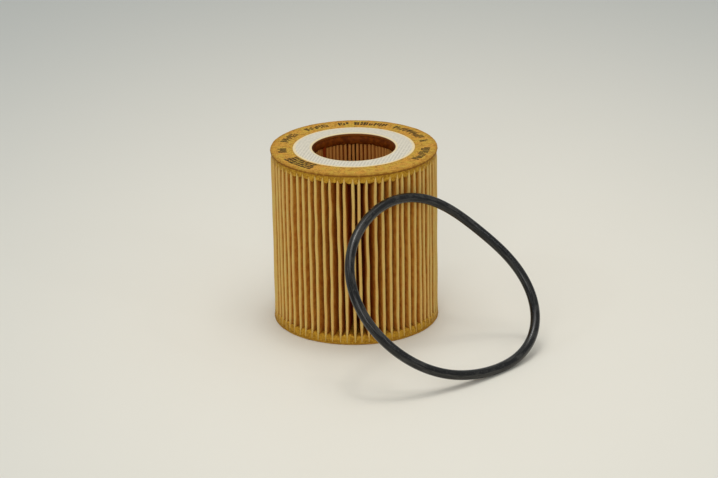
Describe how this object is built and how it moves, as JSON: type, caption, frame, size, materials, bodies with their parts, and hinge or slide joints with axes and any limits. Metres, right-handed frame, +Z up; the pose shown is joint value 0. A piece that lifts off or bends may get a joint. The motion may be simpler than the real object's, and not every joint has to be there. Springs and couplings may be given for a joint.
{
  "type": "oil filter element with O-ring",
  "caption": "Pleated paper oil filter element with fleece end discs, pale woven seal rings and an open bore, with the filter lid's loose rubber O-ring leaning on its side.",
  "frame": {"origin": "on the floor that the kit stands on, under the middle of the box round the element and the leaning O-ring; the element's axis stands at x = -21.5 mm, y = 27.9 mm", "axes": "+Z up along the element's axis, from the end it stands on to the printed end; -Y is the front, where the O-ring leans; +X is to the right seen from the front"},
  "size_m": [0.1164, 0.1291, 0.079],
  "materials": {
    "filter_paper": "matte",
    "end_fleece": "matte",
    "potting_adhesive": "satin",
    "seam_adhesive": "satin",
    "woven_seal": "matte",
    "ring_rubber": "satin"
  },
  "bodies": {
    "element": {"pleated_paper": "filter_paper", "side_seam_bond": "seam_adhesive", "bottom_end_disc": "end_fleece", "bottom_seal_ring": "woven_seal", "bottom_potting": "potting_adhesive", "top_end_disc": "end_fleece", "top_seal_ring": "woven_seal", "top_potting": "potting_adhesive"},
    "o_ring": {"o_ring": "ring_rubber"}
  },
  "joints": [
    {"name": "o_ring_tilt", "type": "hinge", "parent": "element", "child": "o_ring", "pos_m": [0.0327, -0.0465, 0.00215], "axis": [0.7242, 0.6896, 0], "range_deg": [0, 129.1]}
  ]
}
